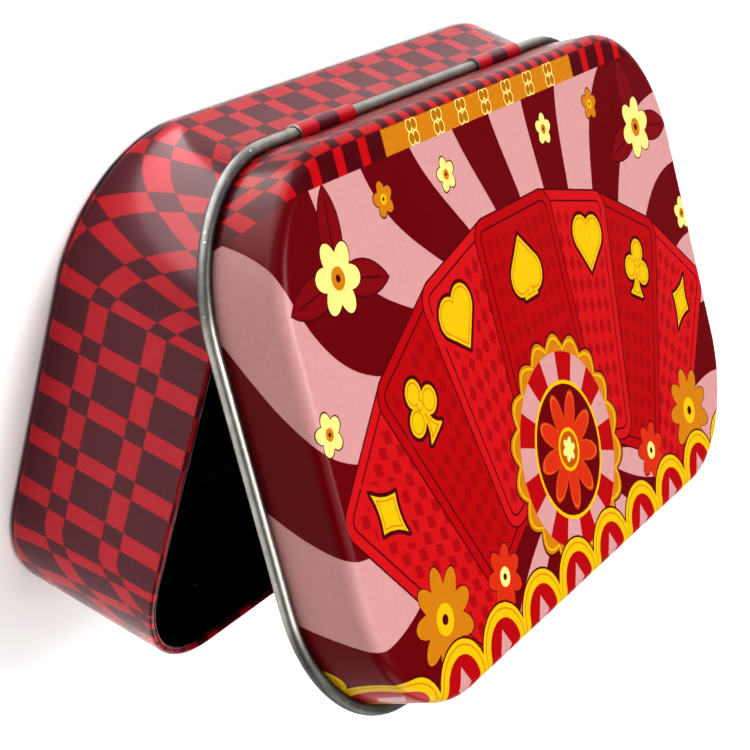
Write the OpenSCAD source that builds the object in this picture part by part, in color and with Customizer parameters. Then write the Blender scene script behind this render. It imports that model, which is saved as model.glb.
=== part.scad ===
// Hinged tinplate card tin: a rounded rectangular tray with a lid on two curled hinge knuckles.
// The tray stands flat on z = 0 with the hinge at the rear (+Y), and the lid is drawn open.
// Every wall is one sheet thickness: a flat profile swept round a rounded rectangle.

/* [Overall size] */
// Length over the lid's rolled bead
tin_l = 96; // [90:0.5:104]
// Width over the lid's rolled bead
tin_w = 61; // [57:0.5:68]
// Plan radius of the corners, to the middle of the lid's bead
corner_radius = 16.4; // [12:0.2:20]

/* [Sheet metal] */
// Thickness of the tinplate
sheet_t = 0.25; // [0.2:0.01:0.3]
// Gap between the tray's wall and the lid's skirt with the lid shut
skirt_gap = 0.85; // [0.7:0.05:1.0]

/* [Tray] */
// Height of the tray over its rolled rim
tray_h = 19.4; // [18.5:0.1:21]
// Outer radius of the bend between the tray's wall and floor
tray_edge_r = 1.3; // [0.8:0.1:2]
// Outer diameter of the rim's inward roll
rim_roll_d = 1.0; // [0.9:0.05:1.3]

/* [Lid] */
// Gap between the tray's rim and the lid's panel with the lid shut
rim_gap = 0.25; // [0.15:0.05:1]
// Outer radius of the bend between the lid's skirt and panel
lid_edge_r = 1.5; // [0.8:0.1:2.2]
// Outer diameter of the lid's rolled bead
bead_d = 1.45; // [1.2:0.05:1.8]
// How far the lid stands open
open_angle = 33; // [0:1:110]

/* [Hinge] */
// Height of the hinge axis above the surface the tin stands on
hinge_z = 11.4; // [10.5:0.1:12]
// Distance from the middle of the tin to the middle of each knuckle
knuckle_x = 19.8; // [16:0.2:24]
// Width of each knuckle
knuckle_w = 10.8; // [8:0.2:13]
// Running clearance round the bead inside the knuckle
knuckle_gap = 0.09; // [0.03:0.01:0.1]
// Radius of the bend where the knuckle leaves the tray's wall
root_bend_r = 0.4; // [0.3:0.05:0.5]
// Free play of the lid's slots beside the knuckles
slot_play = 0.3; // [0.2:0.05:0.6]

/* [Catch] */
// Distance from the middle of the tin to each catch dimple
dimple_x = 23; // [12:1:26]
// Width of a catch dimple across its foot
dimple_d = 2.4; // [2:0.1:3]
// How far a catch dimple stands out of the tray's front wall
dimple_h = 0.45; // [0.3:0.05:0.55]
// Height of the dimples above the surface the tin stands on
dimple_z = 13; // [12:0.1:15]

/* [Hidden] */
$fn = 96;

// Bead path: the middle line of the lid's rolled edge
bead_r = bead_d / 2;
bead_l = tin_l - bead_d;
bead_w = tin_w - bead_d;
hinge_y = bead_w / 2;

// Height of the lid above the middle of its bead
lid_h = tray_h - hinge_z + rim_gap + sheet_t;

// Lid skirt, whose inner face is level with the inside of the bead
skirt_in = bead_r;
skirt_out = bead_r - sheet_t;

// Tray wall, inset from the bead path
wall_in = bead_r + skirt_gap;
tray_l = bead_l - 2 * wall_in;
tray_w = bead_w - 2 * wall_in;
tray_r = corner_radius - wall_in;
roll_r = rim_roll_d / 2;
roll_z = tray_h - roll_r;
// The roll ends just short of the wall's inner face
roll_wrap = 292;

// Angles round the bead seen along the hinge, from +Y towards +Z
curl_start = 180;
curl_end = 488;
knuckle_in_r = bead_r + knuckle_gap;
knuckle_out_r = knuckle_in_r + sheet_t;
knuckle_end = 150;
knuckle_start = -90;

// Root of a knuckle: a bend out of the wall, then a flat run under the bead
root_y = -wall_in + root_bend_r;
root_z = -knuckle_out_r - root_bend_r;

// Window that lancing the knuckle leaves in the wall
root_mid_r = root_bend_r + sheet_t / 2;
knuckle_mid_r = knuckle_in_r + sheet_t / 2;
bend_len = PI / 2 * root_mid_r;
curl_len = PI * knuckle_mid_r * (knuckle_end - knuckle_start) / 180;
window_h = bend_len - root_y + curl_len;
window_play = 0.15;
window_r = 0.6;

// Slot in the lid's skirt: it clears the whole knuckle at every angle
slot_low = 0.2;
slot_lift = 0.1;
slot_high = knuckle_out_r + slot_lift;

// Sphere whose cap is the outer face of a catch dimple
dimple_sphere_r = (pow(dimple_d / 2, 2) + pow(dimple_h, 2)) / (2 * dimple_h);

// Rounded rectangle from exact squares and circles
module rounded_plate_2d(l, w, r) {
    square([l - 2 * r, w], center = true);
    square([l, w - 2 * r], center = true);
    for (x = [-1, 1], y = [-1, 1])
        translate([x * (l / 2 - r), y * (w / 2 - r)])
            circle(r);
}

// Sweeps a flat profile round a rounded rectangle; profile x points outward and profile y up
module sweep_round(l, w, r) {
    for (side = [-1, 1]) {
        rotate([0, 0, side > 0 ? 0 : 180])
            translate([0, w / 2, 0])
                rotate([90, 0, 90])
                    linear_extrude(l - 2 * r, center = true) children();
        rotate([0, 0, side > 0 ? -90 : 90])
            translate([0, l / 2, 0])
                rotate([90, 0, 90])
                    linear_extrude(w - 2 * r, center = true) children();
    }
    for (quarter = [0 : 3]) {
        along_l = quarter % 2 == 0;
        rotate([0, 0, 90 * quarter])
            translate([(along_l ? l : w) / 2 - r, (along_l ? w : l) / 2 - r, 0])
                rotate_extrude(angle = 90) translate([r, 0]) children();
    }
}

// Wedge of a plane from one angle to another, under a half turn, to cut rings with
module wedge_2d(reach, from, to) {
    mid = (from + to) / 2;
    polygon([[0, 0],
             reach * [cos(from), sin(from)],
             2 * reach * [cos(mid), sin(mid)],
             reach * [cos(to), sin(to)]]);
}

// Part of a ring between two angles, in three equal pieces so that each is under a half turn
module ring_arc_2d(r_in, r_out, from, to) {
    step = (to - from) / 3;
    intersection() {
        difference() {
            circle(r_out);
            circle(r_in);
        }
        for (i = [0 : 2])
            wedge_2d(3 * r_out, from + i * step, from + (i + 1) * step);
    }
}

// Bend out of the tray's floor and the straight wall above it
module tray_wall_2d() {
    translate([-tray_edge_r, tray_edge_r])
        ring_arc_2d(tray_edge_r - sheet_t, tray_edge_r, -90, 0);
    translate([-sheet_t, tray_edge_r])
        square([sheet_t, roll_z - tray_edge_r]);
}

// Straight skirt and the bend into the lid's panel, drawn from the middle of the bead
module lid_skirt_2d() {
    translate([-skirt_in, 0])
        square([sheet_t, lid_h - lid_edge_r]);
    translate([-skirt_out - lid_edge_r, lid_h - lid_edge_r])
        ring_arc_2d(lid_edge_r - sheet_t, lid_edge_r, 0, 90);
}

// Lanced window in the rear wall above a knuckle's root, with round upper corners
module hinge_window(x) {
    w = knuckle_w + 2 * window_play;
    deep = 4 * sheet_t;
    translate([x - w / 2, tray_w / 2 - 2 * sheet_t, hinge_z + root_z]) {
        cube([w, deep, window_h - window_r]);
        translate([window_r, 0, 0])
            cube([w - 2 * window_r, deep, window_h]);
        for (side = [window_r, w - window_r])
            translate([side, 0, window_h - window_r])
                rotate([-90, 0, 0])
                    cylinder(h = deep, r = window_r);
    }
}

// Sphere of a dimple pressed out of the front wall, at a depth under its outer face
module dimple_cap(x, depth) {
    translate([x, -tray_w / 2 - dimple_h + dimple_sphere_r, dimple_z])
        sphere(dimple_sphere_r - depth);
}

module base_tray() {
    color([0.55, 0.07, 0.10])
        difference() {
            union() {
                sweep_round(tray_l, tray_w, tray_r) tray_wall_2d();
                linear_extrude(sheet_t)
                    rounded_plate_2d(tray_l - 2 * tray_edge_r, tray_w - 2 * tray_edge_r,
                                     tray_r - tray_edge_r);
                for (x = [-dimple_x, dimple_x])
                    intersection() {
                        dimple_cap(x, 0);
                        translate([x - dimple_d, -tray_w / 2 - dimple_h, dimple_z - dimple_d])
                            cube([2 * dimple_d, dimple_h + sheet_t, 2 * dimple_d]);
                    }
            }
            for (x = [-knuckle_x, knuckle_x])
                hinge_window(x);
            for (x = [-dimple_x, dimple_x])
                dimple_cap(x, sheet_t);
        }
}

// Inward roll that closes the tray's raw edge
module base_rim_roll() {
    color([0.45, 0.05, 0.08])
        translate([0, 0, roll_z])
            sweep_round(tray_l, tray_w, tray_r)
                translate([-roll_r, 0])
                    ring_arc_2d(roll_r - sheet_t, roll_r, 0, roll_wrap);
}

// Tongue of the tray's wall, bent out under the lid's bead and curled round it
module hinge_knuckle(x) {
    color([0.72, 0.10, 0.13])
        translate([x, hinge_y, hinge_z])
            rotate([90, 0, 90])
                linear_extrude(knuckle_w, center = true) {
                    translate([root_y, root_z])
                        ring_arc_2d(root_bend_r, root_bend_r + sheet_t, 90, 180);
                    translate([root_y, -knuckle_out_r])
                        square([-root_y, sheet_t]);
                    ring_arc_2d(knuckle_in_r, knuckle_out_r, knuckle_start, knuckle_end);
                }
}

module hinge_knuckle_left() {
    hinge_knuckle(-knuckle_x);
}

module hinge_knuckle_right() {
    hinge_knuckle(knuckle_x);
}

// Swings a lid part from shut to open about the hinge axis
module lid_pose() {
    translate([0, hinge_y, hinge_z])
        rotate([-open_angle, 0, 0])
            translate([0, -hinge_y, 0]) children();
}

module lid_shell() {
    slot_w = knuckle_w + 2 * slot_play;
    color([0.80, 0.09, 0.12])
        lid_pose()
            difference() {
                union() {
                    sweep_round(bead_l, bead_w, corner_radius) lid_skirt_2d();
                    translate([0, 0, lid_h - sheet_t])
                        linear_extrude(sheet_t)
                            rounded_plate_2d(bead_l - 2 * (skirt_out + lid_edge_r),
                                             bead_w - 2 * (skirt_out + lid_edge_r),
                                             corner_radius - skirt_out - lid_edge_r);
                }
                for (x = [-knuckle_x, knuckle_x])
                    translate([x - slot_w / 2, bead_w / 2 - 2 * skirt_in, slot_low])
                        cube([slot_w, 2 * skirt_in, slot_high - slot_low]);
            }
}

// Outward roll of the skirt's edge, which is also the hinge pin inside the knuckles
module lid_rolled_bead() {
    color([0.70, 0.70, 0.68])
        lid_pose()
            sweep_round(bead_l, bead_w, corner_radius)
                ring_arc_2d(bead_r - sheet_t, bead_r, curl_start, curl_end);
}

base_tray();
base_rim_roll();
hinge_knuckle_left();
hinge_knuckle_right();
lid_shell();
lid_rolled_bead();
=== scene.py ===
# %% [markdown]
# # A hinged tinplate card tin
# This lesson dresses a finished CAD model of a small printed tin: a tray, and a lid that swings on
# two curled hinge knuckles. The shapes come ready made, in metres, with the tray standing on z = 0
# and the hinge at the rear, on the +Y side. Everything that a printing works would add is made here:
# lacquer, print, bare edges, wear, and the light to see them by.

# %% Load the frame
import math
import bpy
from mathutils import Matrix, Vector

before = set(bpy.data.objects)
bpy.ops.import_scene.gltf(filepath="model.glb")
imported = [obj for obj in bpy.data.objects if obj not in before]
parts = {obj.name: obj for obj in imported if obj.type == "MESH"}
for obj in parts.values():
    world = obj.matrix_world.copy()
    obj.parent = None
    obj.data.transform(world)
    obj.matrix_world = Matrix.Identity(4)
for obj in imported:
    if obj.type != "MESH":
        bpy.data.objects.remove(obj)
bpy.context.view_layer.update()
print("parts:", sorted(parts))

# %% [markdown]
# ## Two helpers
# Print colours are written as sRGB hex values, as in a printer's colour book, but a renderer works in
# linear light, so one function turns them. A second one adds any shader node: it fills the sockets
# in order or by name, from values or from other nodes' outputs, and hands back what it gives out.

# %% Colours and nodes
MATH, VECTOR, RANGE, MIX = "ShaderNodeMath", "ShaderNodeVectorMath", "ShaderNodeMapRange", "ShaderNodeMix"
SPLIT, NOISE = "ShaderNodeSeparateXYZ", "ShaderNodeTexNoise"


def colour(hex_value):
    """Linear RGBA of an sRGB hex colour."""
    srgb = [int(hex_value[i:i + 2], 16) / 255 for i in (1, 3, 5)]
    return [v / 12.92 if v <= 0.04045 else ((v + 0.055) / 1.055) ** 2.4 for v in srgb] + [1.0]


def add(tree, kind, inputs=(), out=0, **settings):
    """Adds a node with its settings and links. Returns one output, or all of them if out is None."""
    made = tree.nodes.new(kind)
    for name, value in settings.items():
        setattr(made, name, value)
    pairs = inputs.items() if isinstance(inputs, dict) else enumerate(inputs)
    for key, value in pairs:
        if isinstance(value, bpy.types.NodeSocket):
            tree.links.new(value, made.inputs[key])
        elif value is not None:
            made.inputs[key].default_value = value
    return made.outputs if out is None else made.outputs[out]


print("deep red in linear light:", [round(v, 3) for v in colour("#c1121c")])

# %% [markdown]
# ## The camera
# The tin was photographed from behind and to its left, with a fairly long lens and the camera rolled
# well over, so that the tray seems to lie on its front. The place, turn and lens below come
# from fitting the CAD's edges to the picture with the lens shift held at zero, so that other views
# frame as usual. A shifted lens would follow the lid's far edge more closely.

# %% Camera at the photograph's angle
CAMERA_MM = (-191.46, 104.32, 98.93)
CAMERA_TURN_DEG = (-50.97, -56.272, 26.194)
LENS_MM = 94.4

lens = bpy.data.cameras.new("long_lens")
lens.lens = LENS_MM
lens.sensor_width = 36
lens.clip_start = 0.01
camera = bpy.data.objects.new("camera", lens)
camera.location = [v / 1000 for v in CAMERA_MM]
camera.rotation_euler = [math.radians(v) for v in CAMERA_TURN_DEG]
bpy.context.scene.collection.objects.link(camera)
bpy.context.scene.camera = camera
print("camera to tin in mm:", round(camera.location.length * 1000))

# %% [markdown]
# ## The floor, the sky and the lamps
# A picture of shiny tinplate is mostly a picture of what the tin mirrors. The floor is plain white paper,
# lit until it goes quite white, and it fills the camera's whole view. The sky is pale near the horizon
# and dim above, so that the lid keeps its deep colours instead of mirroring white. Three large soft
# lamps stand above, in front and behind, and a small card behind the tin adds a sheen to one corner.
# The contrast look does what a shop does to its pictures: bright inks glow and dark ones go deep.

# %% Floor and sky
FLOOR_HALF = 4.0
HAZE_TOP, DIM_FROM = 0.02, 0.4  # heights in the sky, as the sine of the angle above the horizon
HAZE_GLOW, DIM_GLOW = 1.0, 0.06

floor_mesh = bpy.data.meshes.new("floor")
corners = [(-FLOOR_HALF, -FLOOR_HALF, 0), (FLOOR_HALF, -FLOOR_HALF, 0),
           (FLOOR_HALF, FLOOR_HALF, 0), (-FLOOR_HALF, FLOOR_HALF, 0)]
floor_mesh.from_pydata(corners, [], [(0, 1, 2, 3)])
floor = bpy.data.objects.new("floor", floor_mesh)
bpy.context.scene.collection.objects.link(floor)

paper = bpy.data.materials.new("white_backdrop_paper")
paper.use_nodes = True
paper_shader = paper.node_tree.nodes["Principled BSDF"]
paper_shader.inputs["Base Color"].default_value = colour("#fbfbfa")
paper_shader.inputs["Roughness"].default_value = 0.9
floor.data.materials.append(paper)

world = bpy.data.worlds.new("studio_sky")
world.use_nodes = True
bpy.context.scene.world = world
sky = world.node_tree
direction = add(sky, "ShaderNodeTexCoord")
height = add(sky, SPLIT, [direction], out=2)
glow = add(sky, RANGE, [height, HAZE_TOP, DIM_FROM, HAZE_GLOW, DIM_GLOW], interpolation_type="SMOOTHSTEP")
sky.links.new(glow, sky.nodes["Background"].inputs["Strength"])
sky.nodes["Background"].inputs["Color"].default_value = colour("#fbfbfd")
bpy.context.scene.view_settings.view_transform = "Standard"
bpy.context.scene.view_settings.look = "High Contrast"
print("floor side in m:", 2 * FLOOR_HALF)

# %% [markdown]
# ## The lamps
# A softbox is a large lit cloth. It could be a mesh that glows, but an area lamp gives the same soft edge
# with less noise. The three softboxes are large against a tin this small, so nothing on it
# gets a hard shadow. The card is small, so that its sheen stays on one corner of the tray.

# %% Lamps
def lamp(name, watts, size, place, aim):
    """A soft rectangular lamp, in metres, aimed at a point. The camera doesn't see its face."""
    light = bpy.data.lights.new(name, "AREA")
    light.shape = "RECTANGLE"
    light.size, light.size_y = size
    light.energy = watts
    holder = bpy.data.objects.new(name, light)
    holder.location = place
    holder.rotation_euler = (Vector(aim) - Vector(place)).to_track_quat("-Z", "Y").to_euler()
    holder.visible_camera = False
    bpy.context.scene.collection.objects.link(holder)
    return holder


TIN_MIDDLE = (0.0, 0.0, 0.02)
lamps = [
    lamp("key_softbox", 18.0, (1.6, 1.6), (-0.25, 0.35, 1.8), TIN_MIDDLE),
    lamp("front_softbox", 7.0, (1.2, 0.8), (0.1, -1.1, 1.0), TIN_MIDDLE),
    lamp("rear_softbox", 6.8, (0.5, 0.5), (0.15, 0.55, 0.85), TIN_MIDDLE),
    lamp("glow_card", 0.045, (0.045, 0.08), (-0.052, 0.07, 0.0006), (-0.052, 0.07, 1.0)),
]
# The card lies on the floor behind the tin. It is only mirrored, as a sheen on the tray's corner.
lamps[-1].visible_diffuse = False
print("lamps:", [lit.name for lit in lamps])

# %% [markdown]
# ## Reading a place on the flat sheet
# Tins are printed while the sheet is still flat. The press then draws the walls out of it, and the
# print is stretched with the steel: over the round corners the columns of a check fan out and its rows
# climb. The shader does the same in reverse. It takes a point on the drawn wall, in millimetres,
# and works out where that point lay on the flat sheet, so any flat pattern bends the way a real one does.

# %% From the drawn wall back to the flat sheet
CORNER_MID_X = 30.875
CORNER_MID_Y = 13.375
TALLER_MM = 1000.0  # more than any height on the tin, so that z drops out
CORNER_SQUEEZE = 0.6  # how much shorter the print is over a corner than over a straight wall

HINGE_Y = 29.775
HINGE_Z = 11.4
LID_OPEN_DEG = 33
LID_H = 8.5
MM_PER_M = 1000.0
WAVER_PER_MM = 2.2


def past_corners(tree, at):
    """How far a point lies past the middles of the corners, along x and y, in mm."""
    size = add(tree, VECTOR, [at], operation="ABSOLUTE")
    past = add(tree, VECTOR, [size, (CORNER_MID_X, CORNER_MID_Y, TALLER_MM)], operation="SUBTRACT")
    return add(tree, VECTOR, [past, (0, 0, 0)], operation="MAXIMUM")


def round_corner(tree, past):
    """(direction out of the wall, 0 on a straight wall and up to 0.5 in the middle of a corner)."""
    outward = add(tree, VECTOR, [past], operation="NORMALIZE")
    part = add(tree, SPLIT, [outward], out=None)
    return outward, add(tree, MATH, [part[0], part[1]], operation="MULTIPLY")


def flat_sheet(tree, at, drawn):
    """Flat place in mm of the point at (mm) on a wall that the press has drawn this far (mm)."""
    outward, across = round_corner(tree, past_corners(tree, at))
    kept = add(tree, MATH, [across, -CORNER_SQUEEZE, 1.0], operation="MULTIPLY_ADD")
    run = add(tree, MATH, [drawn, kept], operation="MULTIPLY")
    side = add(tree, VECTOR, [at], operation="SIGN")
    outward = add(tree, VECTOR, [outward, side], operation="MULTIPLY")
    shift = add(tree, VECTOR, {"Vector": outward, "Scale": run}, operation="SCALE")
    flat = add(tree, VECTOR, [at, shift], operation="ADD")
    return add(tree, VECTOR, [flat, (1, 1, 0)], operation="MULTIPLY"), outward


def tray_place(tree):
    """(point in mm, normal) on the tray and what is lanced out of it."""
    coords = add(tree, "ShaderNodeTexCoord", out=None)
    at = add(tree, VECTOR, {"Vector": coords["Object"], "Scale": MM_PER_M}, operation="SCALE")
    return at, coords["Normal"]


def lid_place(tree):
    """(point in mm, normal) on the lid as if it were shut, with z from the middle of its bead."""
    coords = add(tree, "ShaderNodeTexCoord", out=None)
    turn = math.radians(LID_OPEN_DEG)
    hinge = (HINGE_Y * math.cos(turn) - HINGE_Z * math.sin(turn),
             HINGE_Y * math.sin(turn) + HINGE_Z * math.cos(turn))
    at = add(tree, "ShaderNodeMapping",
             [coords["Object"], (0, HINGE_Y - hinge[0], -hinge[1]), (turn, 0, 0), (MM_PER_M,) * 3])
    normal = add(tree, "ShaderNodeMapping", {"Vector": coords["Normal"], "Rotation": (turn, 0, 0)},
                 vector_type="VECTOR")
    return at, normal


def wavering(tree, flat, by_mm):
    """The flat place moved a little by fine noise, as no edge of a print is quite straight."""
    grain = add(tree, NOISE, {"Vector": flat, "Scale": WAVER_PER_MM, "Detail": 2.0}, out=1)
    grain = add(tree, VECTOR, [grain, (0.5, 0.5, 0.5)], operation="SUBTRACT")
    return add(tree, VECTOR, [grain, (by_mm, by_mm, 0), flat], operation="MULTIPLY_ADD")


print("lid turned back by degrees:", LID_OPEN_DEG)

# %% [markdown]
# ## The check
# A check of wide and narrow bands runs round the tray: dark maroon where two wide or two narrow bands
# cross, and red where a wide one crosses a narrow one. Each set of bands is a distance to the
# nearest narrow band, folded over and over with one ping-pong node, and the two sets are then compared.

# %% Bands that cross
BAND_HALF = 1.1
BAND_SOFT = 0.03
TRAP = 0.13  # printers let two inks overlap by about this much, in mm, which leaves a darker seam


def bands(tree, place, middle, pitch, half):
    """(1 inside a narrow band, closeness to its edge) along one direction, in mm."""
    near = add(tree, MATH, [place, middle], operation="SUBTRACT")
    near = add(tree, MATH, [near, pitch / 2], operation="PINGPONG")
    inside = add(tree, RANGE, [near, half - BAND_SOFT, half + BAND_SOFT, 1.0, 0.0])
    edge = add(tree, MATH, [near, half], operation="SUBTRACT")
    edge = add(tree, MATH, [edge], operation="ABSOLUTE")
    seam = add(tree, RANGE, [edge, 0.0, TRAP, 1.0, 0.0])
    return inside, seam


def check(tree, across, along):
    """Red share of two crossing sets of bands, and the seams between the inks."""
    red = add(tree, MATH, [across[0], along[0]], operation="SUBTRACT")
    red = add(tree, MATH, [red], operation="ABSOLUTE")
    seam = add(tree, MATH, [across[1], along[1]], operation="MAXIMUM")
    return red, seam


def two_inks(tree, red, seam, red_ink, dark_ink):
    """Red over dark, with a thin line where the inks overlap."""
    ink = add(tree, MIX, {0: red, 6: colour(dark_ink), 7: colour(red_ink)}, out=2, data_type="RGBA")
    faint = add(tree, MATH, [seam, SEAM_SHOWS], operation="MULTIPLY")
    return add(tree, MIX, {0: faint, 6: ink, 7: colour(SEAM_INK)}, out=2, data_type="RGBA")


CHECK_RED = "#b50d26"
CHECK_DARK = "#580b1d"
SEAM_INK = "#5a0410"
SEAM_SHOWS = 0.45
print("narrow band in mm:", 2 * BAND_HALF)

# %% [markdown]
# The columns and rows could share one pitch, but on the real print they don't quite: the columns are a
# little wider, and the rows stand closer at the rear than on the sides. So there are two sets of rows,
# and one turns smoothly into the other round the rear corners.

# %% The tray's columns and rows
LONG_PITCH = 6.65
FIRST_COLUMN_X = 3.34
COLUMN_WIDENING = -0.0007
SIDE_PITCH = 6.28
FIRST_ROW_Y = 14.6
ROW_WIDENING = -0.086
TRAY_WAVER = 0.16
REAR_FROM_Y = 13.0  # flat rows further back than this belong to the rear wall
REAR_PITCH = 5.35  # the rows stand closer on the rear wall than on the sides
REAR_SHIFT = -5.69  # brings a narrow row to 2 mm above the floor at the rear
CORNER_MIX = (42.0, 31.5)  # the rows change over between these distances from the middle


def tray_print(tree, at, drawn):
    """The tray's check on the flat sheet. Its bands widen a little away from the middle."""
    flat, outward = flat_sheet(tree, at, drawn)
    part = add(tree, SPLIT, [wavering(tree, flat, TRAY_WAVER)], out=None)
    x = add(tree, MATH, [part[0]], operation="ABSOLUTE")
    x = add(tree, MATH, [x, FIRST_COLUMN_X], operation="SUBTRACT")
    widen = add(tree, MATH, [x, COLUMN_WIDENING, 1.0], operation="MULTIPLY_ADD")
    x = add(tree, MATH, [x, widen], operation="MULTIPLY")
    y = add(tree, MATH, [part[1], FIRST_ROW_Y], operation="SUBTRACT")
    past = add(tree, MATH, [y, 0.0], operation="MAXIMUM")
    side_rows = add(tree, MATH, [past, ROW_WIDENING, y], operation="MULTIPLY_ADD")
    rear_rows = add(tree, MATH, [y, SIDE_PITCH / REAR_PITCH, REAR_SHIFT], operation="MULTIPLY_ADD")
    to_rear = add(tree, VECTOR, [at], operation="ABSOLUTE")
    to_rear = add(tree, SPLIT, [to_rear], out=0)
    to_rear = add(tree, RANGE, [to_rear, *CORNER_MIX, 0.0, 1.0], interpolation_type="SMOOTHSTEP")
    is_rear = add(tree, MATH, [part[1], REAR_FROM_Y], operation="GREATER_THAN")
    to_rear = add(tree, MATH, [to_rear, is_rear], operation="MULTIPLY")
    y = add(tree, MIX, {0: to_rear, 2: side_rows, 3: rear_rows}, data_type="FLOAT")
    red, seam = check(tree, bands(tree, x, 0.0, LONG_PITCH, BAND_HALF),
                      bands(tree, y, 0.0, SIDE_PITCH, BAND_HALF))
    return two_inks(tree, red, seam, CHECK_RED, CHECK_DARK), outward


print("pitch of columns, side rows and rear rows in mm:", LONG_PITCH, SIDE_PITCH, REAR_PITCH)

# %% [markdown]
# ## Printed, lacquered tinplate
# Tinplate is thin steel with a skin of tin. A works prints it with litho inks over a white coat and
# bakes a clear lacquer on top. The eye sees even ink with a very fine mottle, and a soft gloss that is not
# quite a mirror. The inside is near black all over, and wherever the sheet is cut the steel shows.
# One shader does both sides of the sheet, and each part says which of its faces are which.

# %% One shader for both sides of the sheet
INSIDE_NEAR_BLACK = "#0a0910"
CUT_STEEL = "#a9a5a0"
LACQUER_IOR = 1.5
LACQUER_SPECULAR = 0.34
LACQUER_COAT = 0.14
LACQUER_ROUGH = (0.25, 0.34)
SCRATCH_ROUGH = 0.06
MOTTLE_PER_MM = 1.3
SMEAR_PER_MM = 0.09


def lacquered_tinplate(name, place, printed, sides, gloss=1.0):
    """Builds the material from the print's colour and two masks: printed faces, and cut edges."""
    material = bpy.data.materials.new(name)
    material.use_nodes = True
    tree = material.node_tree
    shader = tree.nodes["Principled BSDF"]
    at, normal = place(tree)
    ink, outward = printed(tree, at)
    front, raw = sides(tree, at, normal, outward)
    # Litho ink on tinplate has a faint mottle a few tenths of a millimetre wide
    mottle = add(tree, NOISE, {"Vector": at, "Scale": MOTTLE_PER_MM, "Detail": 4.0})
    tone = add(tree, RANGE, [mottle, 0.3, 0.7, 0.965, 1.03])
    ink = add(tree, VECTOR, {"Vector": ink, "Scale": tone}, operation="SCALE")
    # Handling leaves hairline scratches in the lacquer, which only show where something bright is mirrored
    drift = add(tree, VECTOR, [at, (0.35, 5.0, 0.35)], operation="MULTIPLY")
    hairline = add(tree, NOISE, {"Vector": drift, "Scale": 2.0, "Detail": 1.0})
    hairline = add(tree, RANGE, [hairline, 0.66, 0.74, 0.0, SCRATCH_ROUGH])
    smear = add(tree, NOISE, {"Vector": at, "Scale": SMEAR_PER_MM, "Detail": 2.0})
    rough = add(tree, RANGE, [smear, 0.3, 0.7, *LACQUER_ROUGH])
    rough = add(tree, MATH, [rough, hairline], operation="ADD")
    # The inside faces get one near-black colour.
    skin = add(tree, MIX, {0: front, 6: colour(INSIDE_NEAR_BLACK), 7: ink}, out=2, data_type="RGBA")
    skin = add(tree, MIX, {0: raw, 6: skin, 7: colour(CUT_STEEL)}, out=2, data_type="RGBA")
    relief = add(tree, "ShaderNodeBump", {"Height": mottle, "Strength": 0.06, "Distance": 0.0001})
    tree.links.new(skin, shader.inputs["Base Color"])
    tree.links.new(raw, shader.inputs["Metallic"])
    tree.links.new(rough, shader.inputs["Roughness"])
    tree.links.new(relief, shader.inputs["Normal"])
    shader.inputs["IOR"].default_value = LACQUER_IOR
    shader.inputs["Specular IOR Level"].default_value = LACQUER_SPECULAR * gloss
    shader.inputs["Coat Weight"].default_value = LACQUER_COAT * gloss
    shader.inputs["Coat Roughness"].default_value = 0.1
    shader.inputs["Coat IOR"].default_value = LACQUER_IOR
    return material


def turned_to(tree, normal, aim):
    """1 where a face is turned towards a direction, else 0."""
    facing = add(tree, VECTOR, [normal, aim], out="Value", operation="DOT_PRODUCT")
    return add(tree, MATH, [facing, 0.0], operation="GREATER_THAN")


def across_sheet(tree, normal, outward):
    """1 where a face lies across the sheet, as a sheared edge does, else 0."""
    facing = add(tree, VECTOR, [normal, outward], out="Value", operation="DOT_PRODUCT")
    facing = add(tree, MATH, [facing], operation="ABSOLUTE")
    return add(tree, MATH, [facing, 0.3], operation="LESS_THAN")


def dress(node, material):
    """Gives a CAD part its finish."""
    parts[node].data.materials.clear()
    parts[node].data.materials.append(material)
    print(node, "is", material.name, "with", len(material.node_tree.nodes), "nodes")


# %% [markdown]
# ## The tray
# The tray is one sheet, printed outside and dark inside. Each side could have a material slot of its own,
# but the CAD's mesh isn't touched here, so the shader asks which way a face is turned.

# %% The tray
TRAY_EDGE_R = 1.3
PAST_BEND = 0.2  # sheared edges are only looked for this far clear of a bend


def tray_ink(tree, at):
    """The check, and plain maroon under the foot."""
    z = add(tree, SPLIT, [at], out=2)
    check_ink, outward = tray_print(tree, at, z)
    foot = add(tree, RANGE, [z, 0.05, 0.12, 1.0, 0.0])
    ink = add(tree, MIX, {0: foot, 6: check_ink, 7: colour(CHECK_DARK)}, out=2, data_type="RGBA")
    return ink, outward


def tray_sides(tree, at, normal, outward):
    """Printed faces look out of the wall or down, and windows have sheared edges above the bend."""
    front = turned_to(tree, normal, add(tree, VECTOR, [outward, (0, 0, -1)], operation="ADD"))
    z = add(tree, SPLIT, [at], out=2)
    wall = add(tree, MATH, [z, TRAY_EDGE_R + PAST_BEND], operation="GREATER_THAN")
    raw = add(tree, MATH, [across_sheet(tree, normal, outward), wall], operation="MULTIPLY")
    return front, raw


dress("base_tray", lacquered_tinplate("printed_tinplate_tray", tray_place, tray_ink, tray_sides))

# %% [markdown]
# ## The tray's rolled rim
# The raw edge of the tray is rolled inward, so nobody cuts a finger on it. The print runs over the top of
# the roll, because the roll's outside is still the printed face of the sheet, and it is only a
# little rubbed there. How far a point lies from the middle of the roll tells the two faces apart.

# %% The rim
TRAY_WALL_R = 14.825
RIM_ROLL_R = 0.5
TRAY_H = 19.4
RIM_Z = TRAY_H - RIM_ROLL_R
SHEET_T = 0.25


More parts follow.
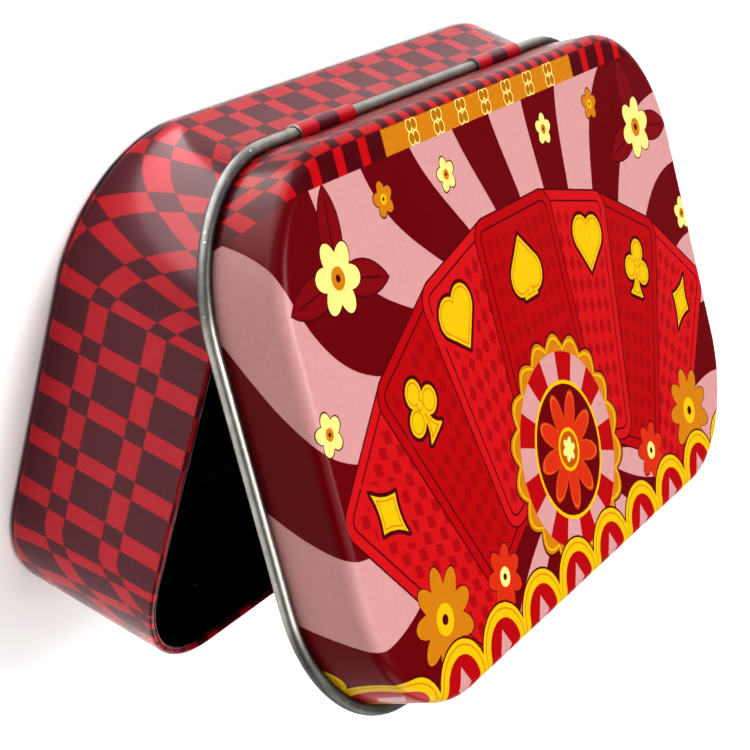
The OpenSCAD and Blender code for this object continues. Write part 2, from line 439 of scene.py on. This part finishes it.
def rim_sides(tree, at, normal, outward):
    """The outside of the roll is printed."""
    reach = add(tree, VECTOR, [past_corners(tree, at)], out="Value", operation="LENGTH")
    reach = add(tree, MATH, [reach, TRAY_WALL_R - RIM_ROLL_R], operation="SUBTRACT")
    z = add(tree, SPLIT, [at], out=2)
    rise = add(tree, MATH, [z, RIM_Z], operation="SUBTRACT")
    section = add(tree, "ShaderNodeCombineXYZ", [reach, rise])
    reach = add(tree, VECTOR, [section], out="Value", operation="LENGTH")
    front = add(tree, MATH, [reach, RIM_ROLL_R - SHEET_T / 2], operation="GREATER_THAN")
    # A rubbed line of bare metal, broken up, along the very top
    rub = add(tree, NOISE, {"Vector": at, "Scale": 0.35, "Detail": 5.0})
    rub = add(tree, RANGE, [rub, 0.6, 0.66, 0.0, 0.5])
    top = add(tree, RANGE, [z, RIM_Z + 0.42, RIM_Z + 0.49, 0.0, 1.0])
    return front, add(tree, MATH, [rub, top], operation="MULTIPLY")


dress("base_rim_roll", lacquered_tinplate("printed_tinplate_rim", tray_place, tray_ink, rim_sides))

# %% [markdown]
# ## The hinge knuckles
# Each knuckle is a tongue, sheared on three sides out of the tray's rear wall, bent out under the lid's bead
# and curled round it. So it carries the wall's own check, and how far a point lies along the tongue
# says which row it belongs to. Its three sheared sides show steel.

# %% The knuckles
KNUCKLE_X = 19.8
KNUCKLE_BAND_HALF = 1.7
KNUCKLE_PITCH = 7.45
KNUCKLE_MID_R = 0.94
CURL_START_MM = 11.9  # where the curl starts, measured up the wall before the tongue was bent
CURL_END_DEG = 148  # just short of the tongue's tip
KNUCKLE_ROW_MM = 11.9  # middle of the narrow row that the curl starts in


def from_hinge(tree, at):
    """Place of a point as seen along the hinge, from its axis."""
    spoke = add(tree, VECTOR, [at, (0, HINGE_Y, HINGE_Z)], operation="SUBTRACT")
    return add(tree, VECTOR, [spoke, (0, 1, 1)], operation="MULTIPLY")


def round_hinge(tree, at):
    """Angle round the hinge axis in radians, from straight behind and counted upward."""
    part = add(tree, SPLIT, [from_hinge(tree, at)], out=None)
    return add(tree, MATH, [part[2], part[1]], operation="ARCTAN2")


def knuckle_ink(tree, at):
    """The wall's check, followed along the tongue."""
    arc = add(tree, MATH, [round_hinge(tree, at), math.pi / 2], operation="ADD")
    along = add(tree, MATH, [arc, KNUCKLE_MID_R, CURL_START_MM], operation="MULTIPLY_ADD")
    x = add(tree, SPLIT, [at], out=0)
    x = add(tree, MATH, [x], operation="ABSOLUTE")
    middle = KNUCKLE_X - KNUCKLE_PITCH / 2
    red, seam = check(tree, bands(tree, x, middle, KNUCKLE_PITCH, KNUCKLE_BAND_HALF),
                      bands(tree, along, KNUCKLE_ROW_MM, SIDE_PITCH, BAND_HALF))
    return two_inks(tree, red, seam, CHECK_RED, CHECK_DARK), from_hinge(tree, at)


def knuckle_sides(tree, at, normal, spoke):
    """Printed outside the curl, and steel at the ends and along the tongue's tip."""
    front = turned_to(tree, normal, spoke)
    end = add(tree, SPLIT, [normal], out=0)
    end = add(tree, MATH, [end], operation="ABSOLUTE")
    end = add(tree, MATH, [end, 0.7], operation="GREATER_THAN")
    tip = add(tree, MATH, [round_hinge(tree, at), math.radians(CURL_END_DEG)], operation="GREATER_THAN")
    return front, add(tree, MATH, [end, tip], operation="MAXIMUM")


knuckle_tinplate = lacquered_tinplate("printed_tinplate_knuckle", tray_place, knuckle_ink, knuckle_sides)
for side in ("left", "right"):
    dress("hinge_knuckle_" + side, knuckle_tinplate)

# %% [markdown]
# ## Shapes for the lid's picture
# The lid's picture is made like a poster: flat inks laid one over another. Each shape is a distance in
# millimetres, below zero inside it, so that the same number gives a crisp fill, an even outline or
# a halo. A motif is drawn round its own middle and is then put in its place with one mapping node.

# %% Distances to simple shapes
def seen_from(tree, at, middle, turn_deg=0.0):
    """The sheet as a motif sees it whose middle is there, turned by so many degrees."""
    return add(tree, "ShaderNodeMapping", {"Vector": at, "Location": (*middle, 0),
               "Rotation": (0, 0, math.radians(turn_deg))}, vector_type="TEXTURE")


def mirrored(tree, at):
    """Both halves of the sheet as one, so that a motif at the right is also at the left."""
    both = add(tree, VECTOR, [at], operation="ABSOLUTE")
    keep = add(tree, VECTOR, [at, (0, 1, 0)], operation="MULTIPLY")
    return add(tree, VECTOR, [both, (1, 0, 0), keep], operation="MULTIPLY_ADD")


def disc(tree, at, radius, middle=(0, 0)):
    """Distance to a round disc."""
    reach = add(tree, VECTOR, [at, (*middle, 0)], out="Value", operation="DISTANCE")
    return add(tree, MATH, [reach, radius], operation="SUBTRACT")


def card(tree, at, half_wide, half_high, corner):
    """Distance to a plate with round corners."""
    size = add(tree, VECTOR, [at], operation="ABSOLUTE")
    past = add(tree, VECTOR, [size, (half_wide - corner, half_high - corner, 0)], operation="SUBTRACT")
    beyond = add(tree, VECTOR, [past, (0, 0, 0)], operation="MAXIMUM")
    beyond = add(tree, VECTOR, [beyond], out="Value", operation="LENGTH")
    part = add(tree, SPLIT, [past], out=None)
    inner = add(tree, MATH, [part[0], part[1]], operation="MAXIMUM")
    inner = add(tree, MATH, [inner, 0.0], operation="MINIMUM")
    total = add(tree, MATH, [beyond, inner], operation="ADD")
    return add(tree, MATH, [total, corner], operation="SUBTRACT")


def lozenge(tree, at, half_wide, half_high):
    """Distance to a diamond standing on its point."""
    size = add(tree, VECTOR, [at], operation="ABSOLUTE")
    slope = math.hypot(half_wide, half_high)
    side = (half_high / slope, half_wide / slope, 0)
    out_by = add(tree, VECTOR, [size, side], out="Value", operation="DOT_PRODUCT")
    return add(tree, MATH, [out_by, half_wide * half_high / slope], operation="SUBTRACT")


def round_about(tree, at):
    """(distance from the middle, angle in radians)."""
    part = add(tree, SPLIT, [at], out=None)
    angle = add(tree, MATH, [part[1], part[0]], operation="ARCTAN2")
    return add(tree, VECTOR, [at], out="Value", operation="LENGTH"), angle


def blossom(tree, at, petals, radius, depth, start_deg=0.0):
    """Distance to a flower or scalloped wheel with round petals."""
    reach, angle = round_about(tree, at)
    wave = add(tree, MATH, [angle, petals / 2, math.radians(start_deg)], operation="MULTIPLY_ADD")
    wave = add(tree, MATH, [wave], operation="COSINE")
    wave = add(tree, MATH, [wave], operation="ABSOLUTE")
    edge = add(tree, MATH, [wave, -depth, reach], operation="MULTIPLY_ADD")
    return add(tree, MATH, [edge, radius - depth], operation="SUBTRACT")


def both_of(tree, one, other):
    """Distance to two shapes joined."""
    return add(tree, MATH, [one, other, 0.12], operation="SMOOTH_MIN")


def shared_by(tree, one, other):
    """Distance to what two shapes share."""
    return add(tree, MATH, [one, other], operation="MAXIMUM")


def line_along(tree, shape, inset, wide):
    """Distance to a line drawn inside a shape's edge, that far from it."""
    off = add(tree, MATH, [shape, inset], operation="ADD")
    off = add(tree, MATH, [off], operation="ABSOLUTE")
    return add(tree, MATH, [off, wide / 2], operation="SUBTRACT")


def grown(tree, shape, by):
    """Distance to a shape that is larger all round."""
    return add(tree, MATH, [shape, by], operation="SUBTRACT")


EDGE_SOFT = 0.035


def ink_over(tree, under, ink, shape, strength=1.0):
    """Lays an ink over what is printed so far, inside a shape."""
    cover = add(tree, RANGE, [shape, -EDGE_SOFT, EDGE_SOFT, strength, 0.0])
    ink = colour(ink) if isinstance(ink, str) else ink
    return add(tree, MIX, {0: cover, 6: under, 7: ink}, out=2, data_type="RGBA")


print("an ink's edge is soft over mm:", 2 * EDGE_SOFT)

# %% [markdown]
# ## Card suits
# The four suits of a pack of cards are put together from discs and diamonds, as sign writers do it: a heart
# is a diamond with two discs on its shoulders, a spade is a heart turned over on a stem, and a club is
# three discs on the same stem. The diamond's sides are drawn in a little, so that it sits well beside them.

# %% Heart, spade, diamond and club
SUIT_HALF = 3.1
SHOULDER = 0.7071  # a disc on half of the diamond's side reaches its corners


def heart(tree, at, half):
    """Distance to a heart; half is the half width of the diamond in it."""
    folded = mirrored(tree, at)
    shoulder = disc(tree, folded, half * SHOULDER, (half / 2, half / 2))
    return both_of(tree, lozenge(tree, at, half, half), shoulder)


def stem(tree, at, half):
    """Distance to the flared foot under a spade or a club."""
    folded = mirrored(tree, at)
    curve = disc(tree, folded, half * 0.95, (half * 1.12, -half * 0.52))
    curve = add(tree, MATH, [curve, -1.0], operation="MULTIPLY")
    foot = card(tree, seen_from(tree, at, (0, -half * 0.82)), half * 0.55, half * 0.52, half * 0.1)
    return shared_by(tree, curve, foot)


def spade(tree, at, half):
    """Distance to a spade."""
    turned = add(tree, VECTOR, [at, (1, -1, 1)], operation="MULTIPLY")
    return both_of(tree, heart(tree, turned, half), stem(tree, at, half))


def club(tree, at, half):
    """Distance to a club."""
    folded = mirrored(tree, at)
    leaves = both_of(tree, disc(tree, at, half * 0.5, (0, half * 0.5)),
                     disc(tree, folded, half * 0.5, (half * 0.54, -half * 0.28)))
    core = disc(tree, at, half * 0.3)
    return both_of(tree, both_of(tree, leaves, core), stem(tree, at, half))


def diamond(tree, at, half):
    """Distance to a diamond, each side of which is an arc round a point far outside it."""
    plain = lozenge(tree, at, half * 0.78, half * 1.2)
    folded = add(tree, VECTOR, [at], operation="ABSOLUTE")
    hollow = disc(tree, folded, half * 2.29, (half * 2.22, half * 1.78))
    return shared_by(tree, plain, add(tree, MATH, [hollow, -1.0], operation="MULTIPLY"))


print("suit width in mm:", 2 * SUIT_HALF)

# %% [markdown]
# ## The lid's picture
# The picture is a generic one for a card tin: a hand of cards spread over wavy rays, a scalloped wheel
# where the cards meet, a few flowers, and a border of scallops along the front. All of it lies on
# the flat sheet, so it runs over the bend and down the skirt as a real print does.

# %% Inks
PALE_PINK = "#b58988"
MAROON = "#640510"
DEEP_RED = "#9c0d15"
BRIGHT_RED = "#ae1b20"
CRIMSON_LINE = "#4d0713"
ORANGE = "#b07419"
DEEP_ORANGE = "#a35510"
YELLOW = "#c5a413"
PALE_YELLOW = "#cdc27a"
RUSSET = "#b3361a"
LATTICE_RED = "#870a13"
print("deepest ink in linear light:", [round(v, 3) for v in colour(CRIMSON_LINE)])

# %% [markdown]
# ## The rays
# Rays fill the ground behind everything. Straight ones could be cut from the angle alone, and a sine of
# the distance from the middle, added to the angle, makes them sway.

# %% Wavy rays
WHEEL_Y = -14.0
RAYS = 15
SWAY_PER_MM = 0.11
SWAY = 1.7


def rays(tree, flat):
    """Wavy rays, maroon on pink, that spread from the middle of the wheel."""
    reach, angle = round_about(tree, seen_from(tree, flat, (0, WHEEL_Y)))
    sway = add(tree, MATH, [reach, SWAY_PER_MM], operation="MULTIPLY")
    sway = add(tree, MATH, [sway], operation="SINE")
    turn = add(tree, MATH, [angle, RAYS], operation="MULTIPLY")
    turn = add(tree, MATH, [sway, SWAY, turn], operation="MULTIPLY_ADD")
    wave = add(tree, MATH, [turn], operation="SINE")
    wide = add(tree, MATH, [reach, 1 / RAYS], operation="MULTIPLY")
    shape = add(tree, MATH, [wave, wide], operation="MULTIPLY")
    return ink_over(tree, colour(PALE_PINK), MAROON, shape)


print("rays:", RAYS)

# %% [markdown]
# ## A hand of cards
# The cards lie like a hand that is held open. Each is the same plate, turned about one pivot far below
# and laid over the one before it, so only four are drawn and three of them also show mirrored.

# %% A hand of cards
CARD_HALF_WIDE = 9.4
CARD_HALF_HIGH = 15.0
CARD_CORNER = 2.4
LATTICE_CELL = (1.9, 2.6)
FAN_PIVOT = (0.0, -46.0)
FAN_REACH = 46.0


def playing_card(tree, under, flat, lean_deg, plate_ink, sign, sign_x):
    """One card of the hand: a plate with a thin frame, a lattice of small diamonds, and its suit."""
    fan = seen_from(tree, flat, FAN_PIVOT, -lean_deg)
    at = seen_from(tree, fan, (0, FAN_REACH))
    plate = card(tree, at, CARD_HALF_WIDE, CARD_HALF_HIGH, CARD_CORNER)
    under = ink_over(tree, under, CRIMSON_LINE, grown(tree, plate, 0.2))
    under = ink_over(tree, under, plate_ink, plate)
    cell = add(tree, VECTOR, [at, (*LATTICE_CELL, 1.0), (0, 0, 0)], operation="WRAP")
    cell = seen_from(tree, cell, [v / 2 for v in LATTICE_CELL])
    lattice = shared_by(tree, lozenge(tree, cell, 0.78, 1.1), grown(tree, plate, -1.75))
    under = ink_over(tree, under, LATTICE_RED, lattice, strength=0.7)
    under = ink_over(tree, under, CRIMSON_LINE, line_along(tree, plate, 1.2, 0.2))
    mark = sign(tree, seen_from(tree, at, (sign_x, CARD_HALF_HIGH - 6.6)), SUIT_HALF)
    under = ink_over(tree, under, plate_ink, grown(tree, mark, 1.1))
    under = ink_over(tree, under, CRIMSON_LINE, grown(tree, mark, 0.42))
    under = ink_over(tree, under, YELLOW, mark)
    return ink_over(tree, under, ORANGE, line_along(tree, mark, 0.4, 0.15))


print("card in mm:", 2 * CARD_HALF_WIDE, "by", 2 * CARD_HALF_HIGH)

# %% [markdown]
# ## The wheel
# The wheel hides where the cards meet. It is a stack of round shapes, each smaller than the one under it,
# so the order in which the inks are laid down does all the cutting.

# %% The wheel
RIM_R, TYRE_R, RING_R, HUB_R = 13.4, 11.3, 8.0, 7.55
SPOKES = 9


def wedges(tree, reach, angle, count):
    """Distance to every other wedge of a round cake."""
    wave = add(tree, MATH, [angle, count], operation="MULTIPLY")
    wave = add(tree, MATH, [wave], operation="SINE")
    wave = add(tree, MATH, [wave, reach], operation="MULTIPLY")
    return add(tree, MATH, [wave, 1 / count], operation="MULTIPLY")


def within(tree, reach, radius):
    """Distance to a disc, from the distance to its middle."""
    return add(tree, MATH, [reach, radius], operation="SUBTRACT")


def wheel(tree, under, flat, middle):
    """A scalloped wheel with wedges, and a flower in its hub."""
    at = seen_from(tree, flat, middle)
    reach, angle = round_about(tree, at)
    rim = blossom(tree, at, 2 * SPOKES, RIM_R, 1.35)
    under = ink_over(tree, under, CRIMSON_LINE, grown(tree, rim, 0.28))
    under = ink_over(tree, under, ORANGE, rim)
    under = ink_over(tree, under, YELLOW, line_along(tree, rim, 0.55, 0.28))
    tyre = within(tree, reach, TYRE_R)
    under = ink_over(tree, under, PALE_PINK, tyre)
    under = ink_over(tree, under, DEEP_RED, shared_by(tree, wedges(tree, reach, angle, SPOKES), tyre))
    under = ink_over(tree, under, YELLOW, within(tree, reach, RING_R))
    under = ink_over(tree, under, MAROON, within(tree, reach, HUB_R))
    petals = blossom(tree, at, SPOKES, 7.0, 3.6, 90)
    under = ink_over(tree, under, RUSSET, petals)
    under = ink_over(tree, under, ORANGE, line_along(tree, petals, 0.4, 0.2))
    under = ink_over(tree, under, YELLOW, within(tree, reach, 2.5))
    under = ink_over(tree, under, DEEP_ORANGE, within(tree, reach, 2.1))
    return ink_over(tree, under, PALE_YELLOW, blossom(tree, at, 6, 1.5, 0.6))


print("wheel across in mm:", 2 * RIM_R)

# %% [markdown]
# ## Flowers and leaves
# Small flowers fill the corners. A petal's edge is a folded cosine of the angle, so one function gives
# five, six or nine petals, and a leaf is the lens that two large discs share.

# %% Flowers and leaves
LEAF_LINE, LEAF, VEIN = "#45060f", "#750c18", "#4b0810"
LEAF_BEND = 0.72
FLOWER_TURN_DEG = 10


def flower(tree, under, flat, middle, petals, radius, ink, eye):
    """A small flower with an eye."""
    at = seen_from(tree, flat, middle, FLOWER_TURN_DEG)
    shape = blossom(tree, at, petals, radius, radius * 0.36)
    under = ink_over(tree, under, CRIMSON_LINE, grown(tree, shape, 0.16))
    under = ink_over(tree, under, ink, shape)
    under = ink_over(tree, under, eye, disc(tree, at, radius * 0.3))
    return ink_over(tree, under, CRIMSON_LINE, disc(tree, at, radius * 0.1))


def leaves(tree, under, flat, middle, turns, long):
    """Pointed leaves round one place, each with a vein."""
    for turn_deg in turns:
        at = seen_from(tree, flat, middle, turn_deg)
        bend = long * LEAF_BEND
        leaf = shared_by(tree, disc(tree, at, bend, (bend * LEAF_BEND, long / 2)),
                         disc(tree, at, bend, (-bend * LEAF_BEND, long / 2)))
        under = ink_over(tree, under, LEAF_LINE, grown(tree, leaf, 0.16))
        under = ink_over(tree, under, LEAF, leaf)
        vein = card(tree, seen_from(tree, at, (0, long / 2)), 0.1, long * 0.36, 0.1)
        under = ink_over(tree, under, VEIN, vein)
    return under


print("leaf inks:", LEAF_LINE, LEAF, VEIN)

# %% [markdown]
# ## The border of scallops
# A row of scallops runs along the front edge. One is drawn, and the sheet is folded into equal cells
# under it, so the row goes on over both corners without a count.

# %% The border of scallops
SCALLOP_PITCH = 9.4
SCALLOP_Y = -28.2
SCALLOP_R = 4.9
PEARL_R = 0.8
PEARL_Y = SCALLOP_Y - 1.6
FAR_MM = 900.0  # far more than the sheet, so that only x is folded


def in_row(tree, flat, pitch):
    """The sheet folded into one cell of a row along x, from 0 to the pitch."""
    return add(tree, VECTOR, [flat, (pitch, FAR_MM, 1.0), (0, -FAR_MM / 2, 0)], operation="WRAP")


def border(tree, under, flat):
    """Scallops along the front edge, with pearls between them."""
    row = in_row(tree, flat, SCALLOP_PITCH)
    at = seen_from(tree, row, (SCALLOP_PITCH / 2, SCALLOP_Y))
    foot = add(tree, SPLIT, [flat], out=1)
    foot = add(tree, MATH, [foot, SCALLOP_Y], operation="SUBTRACT")
    plate = add(tree, MATH, [disc(tree, at, SCALLOP_R), foot], operation="MINIMUM")
    under = ink_over(tree, under, CRIMSON_LINE, grown(tree, plate, 0.22))
    under = ink_over(tree, under, YELLOW, plate)
    under = ink_over(tree, under, ORANGE, line_along(tree, plate, 0.6, 0.16))
    under = ink_over(tree, under, DEEP_RED, disc(tree, at, 3.3))
    under = ink_over(tree, under, PALE_PINK, lozenge(tree, at, 1.3, 2.2))
    pearls = add(tree, MATH, [disc(tree, row, PEARL_R, (0.0, PEARL_Y)),
                              disc(tree, row, PEARL_R, (SCALLOP_PITCH, PEARL_Y))], operation="MINIMUM")
    return ink_over(tree, under, PALE_YELLOW, pearls)


print("scallop pitch in mm:", SCALLOP_PITCH)

# %% [markdown]
# ## The whole picture
# The motifs are laid from the back to the front. Those at the sides are drawn on the mirrored sheet and
# show on both halves, while the middle card and the wheel are drawn once.

# %% The whole picture, from back to front
CORNER_FLOWER = (36.6, 16.4)


def lid_picture(tree, flat):
    """All motifs in front of the check. A motif on the mirrored sheet shows on both halves."""
    both = mirrored(tree, flat)
    ink = rays(tree, flat)
    ink = leaves(tree, ink, both, CORNER_FLOWER, (-98, 8, 104), 9.0)
    ink = flower(tree, ink, both, CORNER_FLOWER, 6, 3.9, PALE_YELLOW, ORANGE)
    ink = flower(tree, ink, both, (25.2, 21.6), 5, 1.9, ORANGE, YELLOW)
    ink = flower(tree, ink, both, (12.0, 21.2), 5, 1.9, PALE_YELLOW, ORANGE)
    ink = flower(tree, ink, both, (44.6, 3.2), 5, 2.2, PALE_YELLOW, ORANGE)
    ink = playing_card(tree, ink, both, 40.5, BRIGHT_RED, diamond, 3.9)
    ink = playing_card(tree, ink, both, 27.0, DEEP_RED, club, 3.9)
    ink = playing_card(tree, ink, both, 13.5, BRIGHT_RED, heart, 3.9)
    ink = playing_card(tree, ink, flat, 0.0, DEEP_RED, spade, 0.0)
    ink = flower(tree, ink, both, (33.5, -20.5), 9, 5.6, ORANGE, YELLOW)
    ink = flower(tree, ink, both, (20.3, -21.3), 7, 3.6, RUSSET, PALE_YELLOW)
    ink = wheel(tree, ink, flat, (0, WHEEL_Y))
    return border(tree, ink, flat)


print("corner flowers at mm:", CORNER_FLOWER)

# %% [markdown]
# ## The lid's rear edge
# Behind the picture the lid carries the tray's check at a smaller size, an orange band with line
# ornaments, and plain bars over the bend. These lie on the same flat sheet, so they too follow the
# drawn corners. Each ornament is a knot of four loops, an old filling for narrow bands.

# %% Check, bars and ornaments behind the picture
LID_PITCH = 4.68
LID_BAND_HALF = 0.84
LID_RED = "#a6101a"
LID_DARK = "#4f0a16"
LID_COLUMN_X = 26.5
LID_ROW_Y = 29.15
FRONT_OF_CHECK_Y = 25.4
BAR_PITCH = 3.0
FIRST_BAR_X = 1.85
BAND_END_X = 22.66
BAND_REAR_Y = 28.25
BAND_LINE = "#7f3d0a"
ORNAMENT_PITCH = 5.5
ORNAMENTS = 7
KNOT_Y = 26.85
KNOT_FILL = "#9d680d"
LOOP_R = 0.58


def loop_knots(tree, under, flat, allowed):
    """A row of knots, each of four yellow loops, inside a shape."""
    at = seen_from(tree, in_row(tree, flat, ORNAMENT_PITCH), (ORNAMENT_PITCH / 2, KNOT_Y))
    at = add(tree, VECTOR, [at], operation="ABSOLUTE")
    at = add(tree, VECTOR, [at, (1.0, 0.82, 1.0)], operation="MULTIPLY")
    loop = disc(tree, at, LOOP_R, (0.5, LOOP_R))
    under = ink_over(tree, under, KNOT_FILL, shared_by(tree, loop, allowed))
    thread = shared_by(tree, line_along(tree, loop, 0.0, 0.17), allowed)
    return ink_over(tree, under, PALE_YELLOW, thread)


def lid_rear(tree, flat, picture):
    """Adds what lies behind the picture."""
    part = add(tree, SPLIT, [flat], out=None)
    x = add(tree, MATH, [part[0]], operation="ABSOLUTE")
    red, seam = check(tree, bands(tree, x, LID_COLUMN_X, LID_PITCH, LID_BAND_HALF),
                      bands(tree, part[1], LID_ROW_Y, LID_PITCH, LID_BAND_HALF))
    checks = two_inks(tree, red, seam, LID_RED, LID_DARK)
    bar = bands(tree, x, FIRST_BAR_X, BAR_PITCH, BAR_PITCH / 4)
    bars = two_inks(tree, bar[0], bar[1], LID_RED, LID_DARK)
    middle = add(tree, MATH, [x, BAND_END_X], operation="SUBTRACT")
    rear = ink_over(tree, checks, bars, middle)
    front = add(tree, MATH, [part[1], BAND_REAR_Y], operation="SUBTRACT")
    in_band = shared_by(tree, front, middle)
    rear = ink_over(tree, rear, ORANGE, in_band)
    rear = ink_over(tree, rear, BAND_LINE, line_along(tree, in_band, 0.0, 0.14), strength=0.6)
    row_end = add(tree, MATH, [x, ORNAMENT_PITCH * ORNAMENTS / 2], operation="SUBTRACT")
    rear = loop_knots(tree, rear, add(tree, VECTOR, [flat, (ORNAMENT_PITCH / 2, 0, 0)], operation="ADD"),
                      shared_by(tree, in_band, row_end))
    behind = add(tree, MATH, [FRONT_OF_CHECK_Y, part[1]], operation="SUBTRACT")
    return ink_over(tree, picture, rear, behind)


print("ornaments on the band:", ORNAMENTS)

# %% [markdown]
# ## The lid
# The lid is the tray's sheet again, with its own print and a leaner lacquer. How far a point lies below
# the panel is how far the press has drawn it, and that is all the shader has to know of the skirt.

# %% The lid
LID_EDGE_R = 1.5
LID_WAVER = 0.08
LID_GLOSS = 0.34  # the lid's lacquer is leaner than the tray's, so its dark inks stay deep


def lid_ink(tree, at):
    """The picture and the rear edge, drawn over the bend and down the skirt."""
    z = add(tree, SPLIT, [at], out=2)
    drawn = add(tree, MATH, [LID_H, z], operation="SUBTRACT")
    flat, outward = flat_sheet(tree, at, drawn)
    flat = wavering(tree, flat, LID_WAVER)
    return lid_rear(tree, flat, lid_picture(tree, flat)), outward


def lid_sides(tree, at, normal, outward):
    """Printed faces look out of the skirt or up, and the slots have sheared edges."""
    front = turned_to(tree, normal, add(tree, VECTOR, [outward, (0, 0, 1)], operation="ADD"))
    z = add(tree, SPLIT, [at], out=2)
    skirt = add(tree, MATH, [z, LID_H - LID_EDGE_R - PAST_BEND], operation="LESS_THAN")
    return front, add(tree, MATH, [across_sheet(tree, normal, outward), skirt], operation="MULTIPLY")


dress("lid_shell", lacquered_tinplate("printed_tinplate_lid", lid_place, lid_ink, lid_sides, LID_GLOSS))

# %% [markdown]
# ## The lid's rolled bead
# The lid's edge is left unprinted and is rolled outward into a bead, which is also the hinge pin. It is
# bare tinplate: bright tin that the rolling tools have dulled to satin, with fine lines along the
# bead. Round the corners the colour is darkened as a painted dark reflection, and the tin is rougher there.

# %% Bare tinplate
BRIGHT_TIN = "#a5a39c"
DARK_REFLECTION_TIN = "#6c6b69"
NICKED_TIN = "#dedcd6"
TIN_ROUGH = (0.36, 0.48)
CORNER_ROUGH = 0.08
LINES_PER_MM = 14.0
LINE_RUN_PER_MM = 0.15


def bare_tinplate():
    """Satin tin with drawing lines, a painted dark reflection and more roughness at the corners, and a few
    bright nicks.
    """
    material = bpy.data.materials.new("bare_tinplate_bead")
    material.use_nodes = True
    tree = material.node_tree
    shader = tree.nodes["Principled BSDF"]
    at = lid_place(tree)[0]
    past = past_corners(tree, at)
    # How far into a corner a point lies: it darkens the colour as a painted dark reflection and raises the
    # roughness.
    corner = round_corner(tree, past)[1]
    corner = add(tree, RANGE, [corner, 0.0, 0.3, 0.0, 1.0], interpolation_type="SMOOTHSTEP")
    blotch = add(tree, NOISE, {"Vector": at, "Scale": 0.5, "Detail": 5.0})
    blotch = add(tree, RANGE, [blotch, 0.3, 0.7, 0.82, 1.1])
    # The sweep keeps its distance from the corners' middles, so lines of equal reach run along the bead
    reach = add(tree, VECTOR, [past], out="Value", operation="LENGTH")
    reach = add(tree, MATH, [reach, LINES_PER_MM], operation="MULTIPLY")
    rise = add(tree, SPLIT, [at], out=2)
    rise = add(tree, MATH, [rise, LINES_PER_MM], operation="MULTIPLY")
    along = add(tree, VECTOR, [at], out="Value", operation="LENGTH")
    along = add(tree, MATH, [along, LINE_RUN_PER_MM], operation="MULTIPLY")
    lines = add(tree, "ShaderNodeCombineXYZ", [reach, rise, along])
    lines = add(tree, NOISE, {"Vector": lines, "Scale": 1.0, "Detail": 2.0})
    # Painted dark reflection: the tin's colour is darkened round the corners.
    skin = add(tree, MIX, {0: corner, 6: colour(BRIGHT_TIN), 7: colour(DARK_REFLECTION_TIN)}, out=2, data_type="RGBA")
    skin = add(tree, VECTOR, {"Vector": skin, "Scale": blotch}, operation="SCALE")
    nick = add(tree, NOISE, {"Vector": at, "Scale": 2.6, "Detail": 3.0})
    nick = add(tree, RANGE, [nick, 0.69, 0.73, 0.0, 1.0])
    skin = add(tree, MIX, {0: nick, 6: skin, 7: colour(NICKED_TIN)}, out=2, data_type="RGBA")
    rough = add(tree, RANGE, [lines, 0.3, 0.7, *TIN_ROUGH])
    rough = add(tree, MATH, [corner, CORNER_ROUGH, rough], operation="MULTIPLY_ADD")
    relief = add(tree, "ShaderNodeBump", {"Height": lines, "Strength": 0.25, "Distance": 0.00003})
    tree.links.new(skin, shader.inputs["Base Color"])
    tree.links.new(rough, shader.inputs["Roughness"])
    tree.links.new(relief, shader.inputs["Normal"])
    shader.inputs["Metallic"].default_value = 1.0
    return material


dress("lid_rolled_bead", bare_tinplate())
